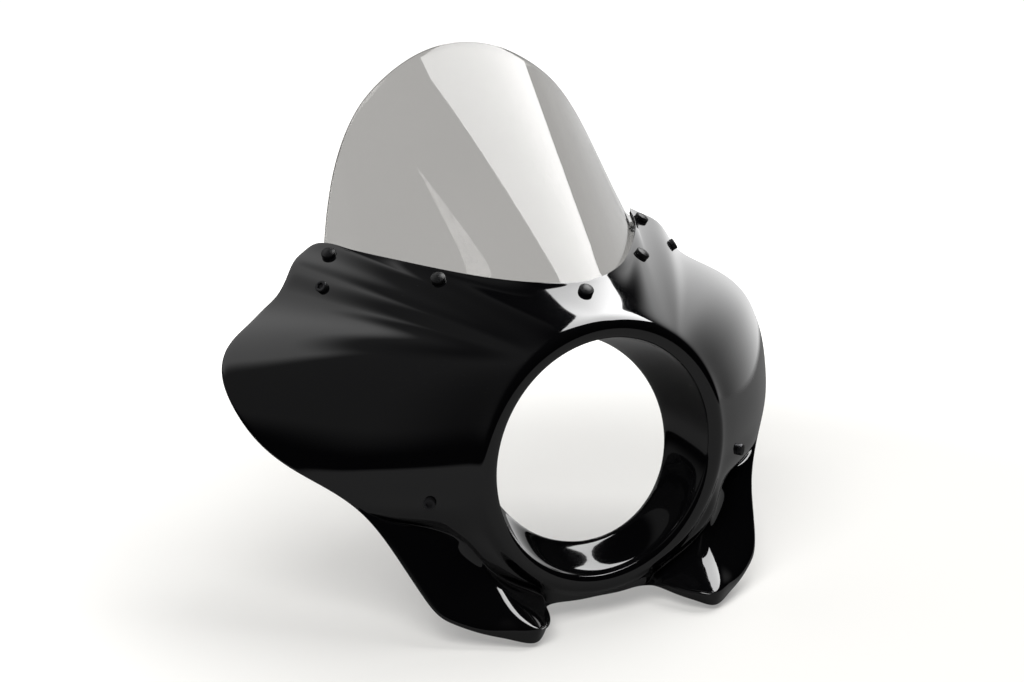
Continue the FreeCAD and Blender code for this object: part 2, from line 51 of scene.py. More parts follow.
def addNode(tree, kind, links=None, inputs=None, **settings):
    node = tree.nodes.new(kind)
    for name, value in settings.items():
        setattr(node, name, value)
    for name, value in (inputs or {}).items():
        node.inputs[name].default_value = value
    for name, output in (links or {}).items():
        tree.links.new(output, node.inputs[name])
    return node


def newMaterial(name):
    material = bpy.data.materials.new(name)
    material.use_nodes = True
    tree = material.node_tree
    tree.nodes.clear()
    output = tree.nodes.new("ShaderNodeOutputMaterial")
    return material, tree, output


def dress(piece, material):
    piece.data.materials.clear()
    piece.data.materials.append(material)
    for face in piece.data.polygons:
        face.material_index = 0


def splineThrough(marks):
    marks = sorted(marks, key=lambda mark: mark[0])
    places = np.array([mark[0] for mark in marks], float)
    values = np.array([np.atleast_1d(mark[1]) for mark in marks], float)
    count = len(places)
    gaps = np.diff(places)
    system = np.eye(count)
    right = np.zeros_like(values)
    for k in range(1, count - 1):
        system[k, k - 1], system[k, k], system[k, k + 1] = gaps[k - 1], 2 * (gaps[k - 1] + gaps[k]), gaps[k]
        right[k] = 6 * ((values[k + 1] - values[k]) / gaps[k] - (values[k] - values[k - 1]) / gaps[k - 1])
    bends = np.linalg.solve(system, right)

    def at(place):
        k = min(max(int(np.searchsorted(places, place)) - 1, 0), count - 2)
        gap, left, over = gaps[k], place - places[k], places[k + 1] - place
        found = (bends[k] * over ** 3 + bends[k + 1] * left ** 3) / (6 * gap)
        found = found + (values[k] / gap - bends[k] * gap / 6) * over
        found = found + (values[k + 1] / gap - bends[k + 1] * gap / 6) * left
        return found[0] if len(found) == 1 else Vector(found)

    return at


def smoothShare(place, start, end):
    share = min(max((place - start) / (end - start), 0.0), 1.0)
    return share * share * (3 - 2 * share)


# Shell moulding: rings of points from the throat to the free edge

shell = {
    "openingRadius": 100.0,
    "rimWidth": 18.0,
    "rimCrown": 2.4,
    "lipRound": 3.6,
    "throatWidth": 175.6,
    "throatHeight": 160.4,
    "throatDepth": 54.8,
    "throatRise": 2.8,
    "throatLean": 19.3,
    "wall": 3.0,
    "noseCrown": -2.0,
    "browCrown": 0.0,
    "browEndCrown": 5.5,
    "ridgeCrown": 6.5,
    "valleyCrown": 8.0,
    "shoulderCrown": 12.0,
    "wingCrown": 11.0,
    "lowWingCrown": 7.5,
    "cheekCrown": 2.0,
    "evenSpan": 30.0,
    "edgeTurn": 1.0,
    "finStep": 4.5,
    "finFlange": 5.0,
    "toeFlange": 12.5,
    "flangeLean": 3.0,
    "creaseGap": 13.5,
    "toeDraw": 7.0,
    "creaseBack": 8.5,
    "finShares": ((0.25, 0.5), (0.60, 0.8), (0.90, 0.6)),
    "cheekShares": ((0.25, 0.5), (0.60, 0.8), (0.88, 0.6), (1.0, 0)),
    "wingShares": (0.12, 0.40, 0.70, 0.93, 1.0),
    "evenShares": (0.125, 0.25, 0.375, 0.5, 0.625, 0.75, 0.87, 0.97, 1.0),
    "gatherSpan": 150.0,
    "stepSpan": 30.0,
    "rimFall": 3.0,
    "sectionCounts": (16, 6, 8, 12, 9, 7, 5, 4),
    "smoothLevels": 2,
}
corners = {
    "nose": (0, 43.0, 138.6), "browEnd": (157.0, 217.5, 153.8), "notch": (201.0, 206.0, 113.0),
    "wingTip": (262.2, 170.0, 55.0), "finRoot": (192.4, 61.5, -32.7), "finHeel": (150.0, 1.0, -111.0),
    "finToe": (83.5, -36.5, -131.0), "chinCorner": (49.9, 10.6, -122.8), "chin": (0, 8.0, -122.0),
}
finFold = {"upper": (109.3, 7.7, -83.9), "middle": (96.9, -14.7, -101.6)}
stretches = [
    [(0.20, 0.06, 0.05), (0.37, 0.175, 0.17), (0.58, 0.39, 0.44), (0.78, 0.64, 0.78), (0.93, 0.90, 1.05)],
    [(0.205, -0.04, 0.118), (0.52, 0.50, 0.30), (0.745, 0.93, 0.64)],
    [(0.16, 0.03, 0.12), (0.38, 0.20, 0.25), (0.76, 0.43, 0.50), (0.95, 0.70, 0.75)],
    [(0.02, 0.11, 0.15), (0.17, 0.34, 0.44), (0.40, 0.57, 0.64), (0.68, 0.79, 0.79)],
    [(0.39, 0.30, 0.33), (0.80, 0.82, 0.84)],
    [(0.13, 0.18, 0.25), (0.41, 0.51, 0.60), (0.75, 0.86, 0.87)],
    [(0.21, 0.09, 0.25), (0.62, 0.47, 0.68)],
    [(0.50, 0.60, 0.60)],
]


def mirrored(point):
    return Vector((-point.x, point.y, point.z))


edgePoints, edgeMarks = [], []
cornerPoints = [Vector(point) for point in corners.values()]
for start, end, shares in zip(cornerPoints, cornerPoints[1:], stretches):
    edgeMarks.append(len(edgePoints))
    edgePoints.append(start)
    span = end - start
    edgePoints.extend(start + Vector((span.x * x, span.y * y, span.z * z)) for x, y, z in shares)
edgeMarks.append(len(edgePoints))
edgePoints.append(cornerPoints[-1])
lengths = [0.0]
for before, after in zip(edgePoints, edgePoints[1:]):
    lengths.append(lengths[-1] + (after - before).length)
stations = [lengths[mark] for mark in edgeMarks]
lead, tail = lengths[1], lengths[-1] - lengths[-2]
edgeGuide = splineThrough([(-lead, mirrored(edgePoints[1]))] + list(zip(lengths, edgePoints))
                          + [(lengths[-1] + tail, mirrored(edgePoints[-2]))])
browRidge = 0.65 * stations[1] + 0.35 * stations[2]
shoulder = 0.6 * stations[2] + 0.4 * stations[3]
lowWing = 0.5 * (stations[3] + stations[4])
angleMarks = [(-stations[1], 120), (0, 90), (stations[1], 60), (browRidge, 56), (stations[2], 51.5),
              (shoulder, 44), (stations[3], 26), (lowWing, 7), (stations[4], -11), (stations[5], -32),
              (stations[6], -59), (stations[7], -67.5), (stations[8], -90),
              (2 * stations[8] - stations[7], -112.5)]
angleGuide = splineThrough(angleMarks)
crownMarks = [(-0.5 * stations[1], shell["browCrown"]), (0, shell["noseCrown"]),
              (0.5 * stations[1], shell["browCrown"]), (stations[1], shell["browEndCrown"]),
              (browRidge, shell["ridgeCrown"]),
              (stations[2], shell["valleyCrown"]), (shoulder, shell["shoulderCrown"]),
              (stations[3], shell["wingCrown"]), (lowWing, shell["lowWingCrown"]),
              (stations[4], shell["cheekCrown"]), (stations[5], 0), (stations[8], 0)]
crownGuide = splineThrough(crownMarks)
rimRadius = shell["openingRadius"] + shell["rimWidth"]
rimFall = shell["rimFall"]


def around(place, radius, back, rise=0.0, stretch=1.0):
    turn = math.radians(angleGuide(place))
    return Vector((radius * math.cos(turn), back, rise + radius * stretch * math.sin(turn)))


def creasePoint(place):
    drawn = shell["toeDraw"] * smoothShare(place, stations[5], stations[6])
    nearRim = rimRadius + shell["creaseGap"] - drawn
    root = edgeGuide(stations[4])
    fade = 1 - min(max((place - stations[4]) / (stations[5] - stations[4]), 0), 1)
    radius = nearRim + (math.hypot(root.x, root.z) - nearRim) * fade ** 2.4
    return around(place, radius, shell["creaseBack"] + (root.y - shell["creaseBack"]) * fade ** 1.4)


def rimPoints(place):
    stretch = shell["throatHeight"] / shell["throatWidth"]
    oval = around(place, shell["throatWidth"] / 2, 0, shell["throatRise"], stretch)
    lean = math.tan(math.radians(shell["throatLean"]))
    throat = Vector((oval.x, shell["throatDepth"] + lean * (oval.z - shell["throatRise"]), oval.z))
    opening, lip = shell["openingRadius"], shell["lipRound"]
    crown, width = shell["rimCrown"], shell["rimWidth"]
    mouth = around(place, opening + 0.2, lip * 1.15)
    return [throat + (mouth - throat) * share for share in (0, 0.5, 1)] + [
        around(place, opening - 0.3, -0.2),
        around(place, opening + lip, -0.75 * crown),
        around(place, opening + 0.5 * width, -crown),
        around(place, opening + 0.78 * width, -0.6 * crown),
        around(place, rimRadius, rimFall)]


highFin = 0.5 * (stations[4] + stations[5])
lowFin = 0.5 * (stations[5] + stations[6])
flangeGuide = splineThrough([
    (stations[4], 0), (highFin, 0.5 * shell["finFlange"]), (stations[5], shell["finFlange"]),
    (lowFin, 1.2 * shell["finFlange"]), (stations[6], shell["toeFlange"]), (stations[7], 0)])


def shoulderPoint(place):
    flange = flangeGuide(place)
    return edgeGuide(place) + Vector((0, -shell["flangeLean"] * flange / shell["toeFlange"], flange))


foldGuide = splineThrough([
    (stations[4], edgeGuide(stations[4])),
    (highFin, creasePoint(highFin) * 0.6 + edgeGuide(highFin) * 0.4),
    (stations[5], Vector(finFold["upper"])),
    (lowFin, Vector(finFold["middle"])),
    (stations[6], shoulderPoint(stations[6])),
    (stations[7], edgeGuide(stations[7]) * 0.5 + creasePoint(stations[7]) * 0.5)])


def outward(place):
    before = max(place - shell["evenSpan"], -lead)
    after = min(place + shell["evenSpan"], lengths[-1] + tail)
    edgeRun = edgeGuide(after) - edgeGuide(before)
    footRun = around(after, rimRadius, rimFall) - around(before, rimRadius, rimFall)
    out = (edgeRun + footRun).cross(edgeGuide(place) - around(place, rimRadius, rimFall)).normalized()
    return out if out.y < 0 else -out


def stepAt(place):
    rising = smoothShare(place, stations[4] - shell["stepSpan"], stations[4] + shell["stepSpan"])
    return shell["finStep"] * rising * (1 - smoothShare(place, stations[6], stations[7]))


def finPoints(place, foot, end, out):
    crown, step = crownGuide(place), stepAt(place)
    crease, middle, shoulder = creasePoint(place), foldGuide(place), shoulderPoint(place)
    points = []
    for share, raised in shell["finShares"]:
        points.append(foot + (crease - foot) * share + out * (4 * share * (1 - share) * crown + step * raised))
    nearCrease = crease + (middle - crease) * shell["wingShares"][0]
    return points + [crease, nearCrease, middle, (middle + shoulder) * 0.5, shoulder, end]


def skinPoints(place):
    foot, end, out = around(place, rimRadius, rimFall), edgeGuide(place), outward(place)
    if stations[4] < place < stations[7]:
        points = finPoints(place, foot, end, out)
    else:
        # sections gather towards the fin's crease, and lie evenly away from it
        chord, crown, step = end - foot, crownGuide(place), stepAt(place)
        gathered = smoothShare(place, stations[4] - shell["gatherSpan"], stations[4])
        fold = 0.55 + 0.41 * gathered
        if place >= stations[7]:
            gathered = 1 - smoothShare(place, stations[7], stations[8])
        if place > stations[7]:
            fold = 0.55 + 0.2 * gathered
        rays = [(share * fold, raised) for share, raised in shell["cheekShares"]]
        rays += [(fold + share * (1 - fold), 0) for share in shell["wingShares"]]
        points = []
        for (ray, raised), even in zip(rays, shell["evenShares"]):
            ray = ray * gathered + even * (1 - gathered)
            points.append(foot + chord * ray + out * (4 * ray * (1 - ray) * crown + step * raised))
    points.append(end - out * shell["edgeTurn"])
    return points


places = [0.0]
for start, end, count in zip(stations, stations[1:], shell["sectionCounts"]):
    places.extend(start + (end - start) * k / count for k in range(1, count + 1))
rightHalf = [rimPoints(place) + skinPoints(place) for place in places]
leftHalf = [[mirrored(point) for point in section] for section in rightHalf]
sections = rightHalf[::-1] + leftHalf[1:-1]


def passing(net, rounds):
    # shifts rim and free edge so that the smoothed skin passes through their points
    rows, columns, skinCount, edgeCount = len(net), len(net[0]), 10, 3
    held = list(range(columns - skinCount)) + list(range(columns - edgeCount, columns))
    shifted = [list(section) for section in net]
    for _ in range(rounds):
        before = [list(section) for section in shifted]
        for i in range(rows):
            for j in held:
                smoothed = (before[i - 1][j] + before[i][j] * 4 + before[(i + 1) % rows][j]) / 6
                shifted[i][j] = before[i][j] + net[i][j] - smoothed
    return shifted


sections = passing(sections, 2)


def ringSkin(net, name):
    mesh = bpy.data.meshes.new(name)
    bm = bmesh.new()
    rings = []
    for column in range(len(net[0])):
        made = bmesh.ops.create_circle(bm, segments=len(net), radius=0.1, cap_ends=False)["verts"]
        for vertex, section in zip(made, net):
            vertex.co = section[column] * mm
        rings.append(list({edge for vertex in made for edge in vertex.link_edges}))
    for inner, outer in zip(rings, rings[1:]):
        bmesh.ops.bridge_loops(bm, edges=inner + outer)
    bmesh.ops.recalc_face_normals(bm, faces=bm.faces)
    bm.to_mesh(mesh)
    bm.free()
    for face in mesh.polygons:
        face.use_smooth = True
    piece = bpy.data.objects.new(name, mesh)
    bpy.context.scene.collection.objects.link(piece)
    return piece


shellPiece = ringSkin(sections, "fairingShellMoulding")
facing = sum(face.normal.y * face.area for face in shellPiece.data.polygons)
if facing > 0:
    shellPiece.data.flip_normals()
smoothing = shellPiece.modifiers.new("smooth", "SUBSURF")
smoothing.levels = smoothing.render_levels = shell["smoothLevels"]
bpy.context.view_layer.update()
outerSkin = BVHTree.FromObject(shellPiece, bpy.context.evaluated_depsgraph_get())
shellPiece.modifiers.clear()
thicken = shellPiece.modifiers.new("wall", "SOLIDIFY")
thicken.thickness = shell["wall"] * mm
thicken.offset = -1
thicken.use_even_offset = False
smoothing = shellPiece.modifiers.new("smooth", "SUBSURF")
smoothing.levels = smoothing.render_levels = shell["smoothLevels"]
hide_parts("fairing_shell")
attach(shellPiece, "root")
print("shell made")


# Windscreen: bent sheet, its lap behind the brow, straight lines up to its rear edge

screen = {
    "thick": 3.0,
    "gap": 2.6,
    "lap": 20.0,
    "baseShare": 0.965,
    "baseLift": (0, 3, 3),
    "flatShare": 0.7,
    "top": (0, 252.0, 311.0),
    "side": (108.2, 246.8, 250.6),
    "topShares": [(0.22, 0.1, 0.035), (0.43, 0.15, 0.16), (0.65, 0.5, 0.38), (0.84, 0.7, 0.65)],
    "sideShares": [(0.36, 0.15, 0.27), (0.62, 0.35, 0.53), (0.82, 0.63, 0.77), (0.94, 0.84, 0.91)],
    "sections": 18,
    "smoothLevels": 4,
}


def skinAt(nominal):
    point, normal, index, distance = outerSkin.find_nearest(nominal * mm)
    return point / mm, normal.normalized()


def onSkin(place, inset):
    end = edgeGuide(place)
    along = (edgeGuide(place + 0.5) - edgeGuide(place - 0.5)).normalized()
    ray = (around(place, rimRadius, rimFall) - end).normalized()
    square = along.cross(outward(place))
    if square.dot(ray) < 0:
        square = -square
    return skinAt(end + square.normalized() * inset)


def lapPoint(place, inset):
    point = onSkin(place, inset)[0] if inset else edgeGuide(place)
    return point - outward(place) * (shell["wall"] + screen["gap"])


baseLength = stations[1] * screen["baseShare"]
baseEnd = lapPoint(baseLength, 0.0) + Vector(screen["baseLift"])
topPoint, sidePoint = Vector(screen["top"]), Vector(screen["side"])
crown = [topPoint]
for start, end, shares in ((topPoint, sidePoint, screen["topShares"]),
                           (sidePoint, baseEnd, screen["sideShares"])):
    span = end - start
    crown.extend(start + Vector((span.x * x, span.y * y, span.z * z)) for x, y, z in shares)
    crown.append(end)
runs = [0.0]
for before, after in zip(crown, crown[1:]):
    runs.append(runs[-1] + (after - before).length)
rearGuide = splineThrough([(-runs[1], mirrored(crown[1]))] + list(zip(runs, crown)))


def twist(place, run):
    # no twist along a ruling means that the flat sheet only bends there
    base, far = lapPoint(place, 0), rearGuide(run)
    alongBase = lapPoint(place + 1, 0) - lapPoint(max(place - 1, 0), 0)
    return alongBase.cross(rearGuide(run + 1) - rearGuide(run - 1)).dot(far - base)


halfSheet = []
reached = 0.0
for k in range(screen["sections"] + 1):
    share = k / screen["sections"]
    place = baseLength * share
    lap = [lapPoint(place, screen["lap"] * inset) for inset in (1.0, 0.5, 0.0)]
    plain = runs[-1] * share * share
    tries = [reached + (runs[-1] - reached) * step / 200 for step in range(201)]
    signs = [twist(place, run) for run in tries]
    flat = next((tries[j] for j in range(200) if signs[j] * signs[j + 1] <= 0), plain) if k else 0.0
    ending = smoothShare(share, screen["flatShare"], 1.0)
    reached = max(flat * (1 - ending) + plain * ending, reached)
    far = rearGuide(reached)
    halfSheet.append(lap + [lap[-1] + (far - lap[-1]) * rise for rise in (0.35, 0.7, 1.0)])
sheet = [[mirrored(point) for point in section] for section in halfSheet[:0:-1]] + halfSheet


def gridSkin(net, name):
    mesh = bpy.data.meshes.new(name)
    bm = bmesh.new()
    bmesh.ops.create_grid(bm, x_segments=len(net[0]) - 1, y_segments=len(net) - 1, size=0.5)
    bm.verts.ensure_lookup_table()
    ordered = sorted(bm.verts, key=lambda vertex: (round(vertex.co.y, 4), round(vertex.co.x, 4)))
    for vertex, point in zip(ordered, (point for section in net for point in section)):
        vertex.co = point * mm
    bm.to_mesh(mesh)
    bm.free()
    for face in mesh.polygons:
        face.use_smooth = True
    piece = bpy.data.objects.new(name, mesh)
    bpy.context.scene.collection.objects.link(piece)
    return piece


screenPiece = gridSkin(sheet, "windscreenSheet")
facing = sum(face.normal.y * face.area for face in screenPiece.data.polygons)
if facing > 0:
    screenPiece.data.flip_normals()
smoothing = screenPiece.modifiers.new("smooth", "SUBSURF")
smoothing.levels = smoothing.render_levels = screen["smoothLevels"]
smoothing.boundary_smooth = "PRESERVE_CORNERS"
thicken = screenPiece.modifiers.new("wall", "SOLIDIFY")
thicken.thickness = screen["thick"] * mm
thicken.offset = -1
rounding = screenPiece.modifiers.new("edge", "BEVEL")
rounding.width = 0.5 * mm
rounding.segments = 2
rounding.angle_limit = math.radians(50)
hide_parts("windscreen")
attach(screenPiece, "root")
print("windscreen made")


# Visible fasteners: button heads with a dome, low socket heads

button = {
    "radius": 6.3,
    "side": 2.8,
    "dome": 1.9,
    "corner": 0.7,
    "shank": 2.5,
    "reach": 15.0,
}
socketHead = {
    "radius": 5.0,
    "height": 3.7,
    "corner": 0.6,
    "hex": 2.9,
    "socket": 2.4,
    "shank": 3.0,
    "reach": 20.0,
}
segments = 48


def nodeAxis(node, reach):
    points = np.array([node.matrix_world @ vertex.co for vertex in node.data.vertices])
    way = skinAt(Vector(points.mean(0)) / mm)[1]
    for _ in range(3):
        heights = points @ np.array(way)
        tip = Vector(points[heights < heights.min() + 0.001].mean(0))
        crest = Vector(points[heights > heights.max() - 0.0003].mean(0))
        way = (crest - tip).normalized()
    return tip + way * (points @ np.array(way) - tip.dot(way)).min() + way * reach * mm, way


def hexReach(radius, turn):
    return radius * math.cos(math.pi / 6) / math.cos((turn + math.pi / 6) % (math.pi / 3) - math.pi / 6)


def turnedPiece(name, node, rings, reach):
    base, way = nodeAxis(node, reach)
    side = way.orthogonal().normalized()
    frameWay = Matrix((side, way.cross(side), way)).transposed()
    label = "visible" + name.title().replace("_", "")
    mesh = bpy.data.meshes.new(label)
    bm = bmesh.new()
    loops = []
    for radius, height, hexagonal in rings:
        made = bmesh.ops.create_circle(bm, segments=segments, radius=0.1, cap_ends=False)["verts"]
        for k, vertex in enumerate(made):
            turn = 2 * math.pi * k / segments
            wide = hexReach(radius, turn) if hexagonal else radius
            spot = Vector((wide * math.cos(turn), wide * math.sin(turn), height))
            vertex.co = base + frameWay @ spot * mm
        loops.append(list({edge for vertex in made for edge in vertex.link_edges}))
    for low, high in zip(loops, loops[1:]):
        bmesh.ops.bridge_loops(bm, edges=low + high)
    for loop in (loops[0], loops[-1]):
        bmesh.ops.holes_fill(bm, edges=loop, sides=segments)
    bmesh.ops.recalc_face_normals(bm, faces=bm.faces)
    bm.to_mesh(mesh)
    bm.free()
    for face in mesh.polygons:
        face.use_smooth = True
    mesh.set_sharp_from_angle(angle=math.radians(40))
    piece = bpy.data.objects.new(label, mesh)
    bpy.context.scene.collection.objects.link(piece)
    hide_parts(node.name)
    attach(piece, "root")
    return piece


def buttonRings():
    size = button
    ball = (size["radius"] ** 2 + size["dome"] ** 2) / (2 * size["dome"])
    inner = size["radius"] - 1.2 * size["corner"]

    def dome(radius):
        return size["side"] + size["dome"] - ball + math.sqrt(ball ** 2 - radius ** 2)

    low, high = size["side"] - size["corner"], dome(inner)
    rings = [(size["shank"], -size["reach"], False), (size["shank"], 0, False),
             (size["radius"] - 0.25, 0, False), (size["radius"], 0.25, False), (size["radius"], low, False)]
    for turn in (20, 42, 66):
        bend = math.radians(turn)
        wide = inner + (size["radius"] - inner) * math.cos(bend)
        rings.append((wide, low + (high - low) * math.sin(bend), False))
    for share in (1.0, 0.85, 0.68, 0.5, 0.32, 0.15, 0.04):
        rings.append((inner * share, dome(inner * share), False))
    return rings


def socketRings():
    size = socketHead
    radius, high, corner = size["radius"], size["height"], size["corner"]
    low = high - size["socket"]
    return [(size["shank"], -size["reach"], False), (size["shank"], 0, False), (radius - 0.2, 0, False),
            (radius, 0.2, False), (radius, high - corner, False),
            (radius - 0.3 * corner, high - 0.3 * corner, False), (radius - corner, high, False),
            (size["hex"] + 0.5, high, False), (size["hex"] + 0.1, high - 0.15, True),
            (size["hex"], high - 0.4, True), (size["hex"], low, True), (0.3, low - 0.5, False)]


fasteners = {}
for name, node in nodes.items():
    if "screen_screw" in name:
        fasteners[name] = turnedPiece(name, node, buttonRings(), button["reach"])
    elif "bracket_bolt" in name:
        fasteners[name] = turnedPiece(name, node, socketRings(), socketHead["reach"])
print("fasteners made")


# Materials

def noiseOn(tree, scale, detail):
    place = addNode(tree, "ShaderNodeTexCoord")
    return addNode(tree, "ShaderNodeTexNoise", {"Vector": place.outputs["Object"]},
                   {"Scale": scale, "Detail": detail})


def glossBlackPaint():
    # clear lacquer over black moulded plastic: mirror-like, with a faint orange peel and a breath of haze
    material, tree, output = newMaterial("glossBlackLacqueredAbs")
    peel = noiseOn(tree, 220.0, 2.0)
    bump = addNode(tree, "ShaderNodeBump", {"Height": peel.outputs["Fac"]},
                   {"Strength": 0.02, "Distance": 0.0002})
    dust = noiseOn(tree, 14.0, 4.0)
    haze = addNode(tree, "ShaderNodeMapRange", {"Value": dust.outputs["Fac"]},
                   {"From Min": 0.35, "From Max": 0.7, "To Min": 0.05, "To Max": 0.09})
    shader = addNode(tree, "ShaderNodeBsdfPrincipled",
                     {"Normal": bump.outputs["Normal"], "Roughness": haze.outputs["Result"]},
                     {"Base Color": hexColour("060607"), "IOR": 1.5,
                      "Coat Weight": 1.0, "Coat IOR": 1.55, "Coat Roughness": 0.02})
    tree.links.new(shader.outputs["BSDF"], output.inputs["Surface"])
    return material


def smokeAcrylic():
    # polished tinted acrylic sheet, its smoke tint drifting by a shade across the bend
    material, tree, output = newMaterial("smokeTintedAcrylic")
    drift = noiseOn(tree, 5.0, 1.0)
    tint = addNode(tree, "ShaderNodeMix", {0: drift.outputs["Fac"]}, data_type="RGBA")
    tint.inputs[6].default_value = hexColour("aaa9a7")
    tint.inputs[7].default_value = hexColour("b0afad")
    shader = addNode(tree, "ShaderNodeBsdfPrincipled", None,
                     {"IOR": 1.49, "Roughness": 0.01, "Transmission Weight": 1.0})
    tree.links.new(tint.outputs[2], shader.inputs["Base Color"])
    tree.links.new(shader.outputs["BSDF"], output.inputs["Surface"])
    return material


def grainedFinish(name, colour, roughness, metallic=0.0):
    # one even colour whose sheen breaks up in a grain of about a millimetre
    material, tree, output = newMaterial(name)
    grain = noiseOn(tree, 900.0, 3.0)
    spread = addNode(tree, "ShaderNodeMapRange", {"Value": grain.outputs["Fac"]},
                     {"To Min": roughness * 0.8, "To Max": roughness * 1.25})
    shader = addNode(tree, "ShaderNodeBsdfPrincipled", {"Roughness": spread.outputs["Result"]},
                     {"Base Color": hexColour(colour), "Metallic": metallic})
    tree.links.new(shader.outputs["BSDF"], output.inputs["Surface"])
    return material


dress(shellPiece, glossBlackPaint())
dress(screenPiece, smokeAcrylic())
finishes = {
    "screen_screw": grainedFinish("satinBlackNylon", "0c0c0d", 0.36),
    "bracket_bolt": grainedFinish("blackOxideSteel", "4a4a4c", 0.35, 0.9),
    "washer": grainedFinish("blackRubber", "101010", 0.7),
    "nut": grainedFinish("zincPlatedSteel", "b4b6ba", 0.3, 1.0),
    "bracket": grainedFinish("satinBlackPowderCoat", "121213", 0.45),
}
for name, node in nodes.items():
    key = next(word for word in ("screen_screw", "bracket_bolt", "washer", "nut", "bracket", "")
               if word in name)
    if key:
        dress(fasteners.get(name, node), finishes[key])
print("materials made")


# Floor, light and camera

floorLevel = -135.5 * mm
# shadowFloor, shadowCentre and shadowReach set a painted shadow: the floor's glow is dimmed round a centre
# beside the object
stage = {
    "floorSize": 40.0,
    "tableRadius": 1.05,
    "shadowFloor": 0.30,
    "shadowCentre": (0.16, 0.06, 0.0),
    "shadowReach": (0.40, 1.0),
    # the paper that reflections see is a darker copy of the paper the camera sees, painted shade that keeps
    # the floor dim in reflections
    "floorColour": "606060",
    "seenColour": "bcbbb8",
}
paperWhite = (1.0, 0.995, 0.985, 1)
floorMesh = bpy.data.meshes.new("studioFloor")
bm = bmesh.new()
bmesh.ops.create_grid(bm, x_segments=1, y_segments=1, size=0.5 * stage["floorSize"])
bmesh.ops.translate(bm, vec=(0, 0, floorLevel), verts=bm.verts)
bm.to_mesh(floorMesh)
bm.free()
floor = bpy.data.objects.new("studioFloor", floorMesh)
bpy.context.scene.collection.objects.link(floor)
floorMaterial, tree, output = newMaterial("whiteStudioFloor")
path = addNode(tree, "ShaderNodeLightPath")
# the paper glows to a full white away from the object and glows less towards a centre beside it, a painted
# shadow added to the lamps' real one, and its lit part ends at the table's edge
spot = addNode(tree, "ShaderNodeTexCoord")
shifted = addNode(tree, "ShaderNodeVectorMath", {0: spot.outputs["Object"]}, {1: stage["shadowCentre"]},
                  operation="SUBTRACT")
reach = addNode(tree, "ShaderNodeVectorMath", {0: shifted.outputs["Vector"]}, operation="LENGTH")
paintedShadowTone = addNode(tree, "ShaderNodeMapRange", {"Value": reach.outputs["Value"]},
               {"From Min": stage["shadowReach"][0], "From Max": stage["shadowReach"][1],
                "To Min": stage["shadowFloor"], "To Max": 1.0}, interpolation_type="SMOOTHSTEP")
edge = addNode(tree, "ShaderNodeMapRange", {"Value": reach.outputs["Value"]},
               {"From Min": stage["tableRadius"] * 0.92, "From Max": stage["tableRadius"] * 1.08})
paper = addNode(tree, "ShaderNodeBsdfDiffuse", None, {"Color": hexColour(stage["floorColour"])})
beyond = addNode(tree, "ShaderNodeBsdfTransparent")
table = addNode(tree, "ShaderNodeMixShader",
                {0: edge.outputs["Result"], 1: paper.outputs["BSDF"], 2: beyond.outputs["BSDF"]})
glow = addNode(tree, "ShaderNodeEmission", {"Strength": paintedShadowTone.outputs["Result"]}, {"Color": paperWhite})
white = addNode(tree, "ShaderNodeBsdfDiffuse", None, {"Color": hexColour(stage["seenColour"])})
lit = addNode(tree, "ShaderNodeAddShader", {0: white.outputs["BSDF"], 1: glow.outputs["Emission"]})
behindSheet = addNode(tree, "ShaderNodeEmission", None, {"Color": paperWhite, "Strength": 1.0})
through = addNode(tree, "ShaderNodeMixShader",
                  {0: path.outputs["Is Transmission Ray"], 1: table.outputs["Shader"],
                   2: behindSheet.outputs["Emission"]})
floorMix = addNode(tree, "ShaderNodeMixShader",
                   {0: path.outputs["Is Camera Ray"], 1: through.outputs["Shader"], 2: lit.outputs["Shader"]})
tree.links.new(floorMix.outputs["Shader"], output.inputs["Surface"])
dress(floor, floorMaterial)

world = bpy.data.worlds.new("studio")
bpy.context.scene.world = world
world.use_nodes = True
tree = world.node_tree
tree.nodes.clear()
output = tree.nodes.new("ShaderNodeOutputWorld")
path = addNode(tree, "ShaderNodeLightPath")
seen = addNode(tree, "ShaderNodeMath",
               {0: path.outputs["Is Camera Ray"], 1: path.outputs["Is Transmission Ray"]}, operation="MAXIMUM")
sky = addNode(tree, "ShaderNodeTexCoord")
parts = addNode(tree, "ShaderNodeSeparateXYZ", {"Vector": sky.outputs["Generated"]})
turnAngle = addNode(tree, "ShaderNodeMath", {0: parts.outputs["X"], 1: parts.outputs["Y"]},
                    operation="ARCTAN2")
riseAngle = addNode(tree, "ShaderNodeMath", {0: parts.outputs["Z"]}, operation="ARCSINE")
# lit walls of the studio, in degrees: azimuth from the back towards the right side, then elevation;
# each range rises from its first to its second value and falls from its third to its fourth
walls = {
    "backWall": {"across": (-80, -64, 6, 14), "up": (24, 31, 56, 66), "glow": 0.50},
    "leftWall": {"across": (-148, -116, 10, 20), "up": (-2, 12, 62, 88), "glow": 0.085},
    "rightWall": {"across": (30, 36, 42, 88), "up": (-34, -24, 20, 32), "glow": 0.90},
}


def windowEdge(angle, low, high, rising):
    limits = {"From Min": math.radians(low), "From Max": math.radians(high), "To Min": 0.0, "To Max": 1.0}
    if not rising:
        limits.update({"To Min": 1.0, "To Max": 0.0})
    return addNode(tree, "ShaderNodeMapRange", {"Value": angle.outputs["Value"]}, limits,
                   interpolation_type="SMOOTHSTEP")


def combined(operation, first, second):
    return addNode(tree, "ShaderNodeMath", {0: first, 1: second}, operation=operation).outputs["Value"]


